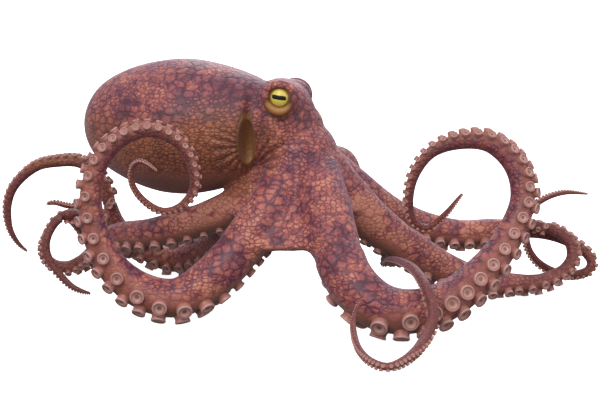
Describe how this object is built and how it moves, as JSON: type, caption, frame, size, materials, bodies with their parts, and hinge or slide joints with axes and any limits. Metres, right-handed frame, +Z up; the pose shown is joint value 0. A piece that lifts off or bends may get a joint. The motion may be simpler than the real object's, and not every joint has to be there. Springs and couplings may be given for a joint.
{
  "type": "octopus",
  "caption": "Life-size common octopus, a still museum-style model standing on its curled arms, with mantle, head, eyes, siphon, web and suckers.",
  "frame": {"origin": "middle of the animal's footprint, on the floor that its arms rest on", "axes": "+X the way the head faces, +Y towards the animal's left side, +Z up"},
  "size_m": [0.669, 0.4602, 0.2546],
  "materials": {
    "skin": "moist, cobbled skin, mauve brown with pale orange patches, golden brown under the mantle; pale pink suckers",
    "eye": "wet, clear and glossy over a yellow iris with a dark bar pupil"
  },
  "bodies": {
    "root": {"mantle": "skin", "head": "skin", "web": "skin", "eye_left": "eye", "eye_right": "eye", "siphon": "skin", "arm_right_1_length_1": "skin", "arm_right_1_length_2": "skin", "arm_right_1_length_3": "skin", "arm_right_1_length_4": "skin", "arm_right_1_length_5": "skin", "arm_right_1_length_6": "skin", "arm_right_1_length_7": "skin", "arm_right_2_length_1": "skin", "arm_right_2_length_2": "skin", "arm_right_2_length_3": "skin", "arm_right_2_length_4": "skin", "arm_right_2_length_5": "skin", "arm_right_2_length_6": "skin", "arm_right_2_length_7": "skin", "arm_right_3_length_1": "skin", "arm_right_3_length_2": "skin", "arm_right_3_length_3": "skin", "arm_right_3_length_4": "skin", "arm_right_3_length_5": "skin", "arm_right_4_length_1": "skin", "arm_right_4_length_2": "skin", "arm_right_4_length_3": "skin", "arm_right_4_length_4": "skin", "arm_right_4_length_5": "skin", "arm_right_4_length_6": "skin", "arm_left_1_length_1": "skin", "arm_left_1_length_2": "skin", "arm_left_1_length_3": "skin", "arm_left_1_length_4": "skin", "arm_left_2_length_1": "skin", "arm_left_2_length_2": "skin", "arm_left_2_length_3": "skin", "arm_left_2_length_4": "skin", "arm_left_2_length_5": "skin", "arm_left_2_length_6": "skin", "arm_left_3_length_1": "skin", "arm_left_3_length_2": "skin", "arm_left_3_length_3": "skin", "arm_left_3_length_4": "skin", "arm_left_3_length_5": "skin", "arm_left_3_length_6": "skin", "arm_left_3_length_7": "skin", "arm_left_3_length_8": "skin", "arm_left_3_length_9": "skin", "arm_left_4_length_1": "skin", "arm_left_4_length_2": "skin", "arm_left_4_length_3": "skin", "arm_left_4_length_4": "skin", "arm_left_4_length_5": "skin", "arm_left_4_length_6": "skin"}
  },
  "joints": []
}
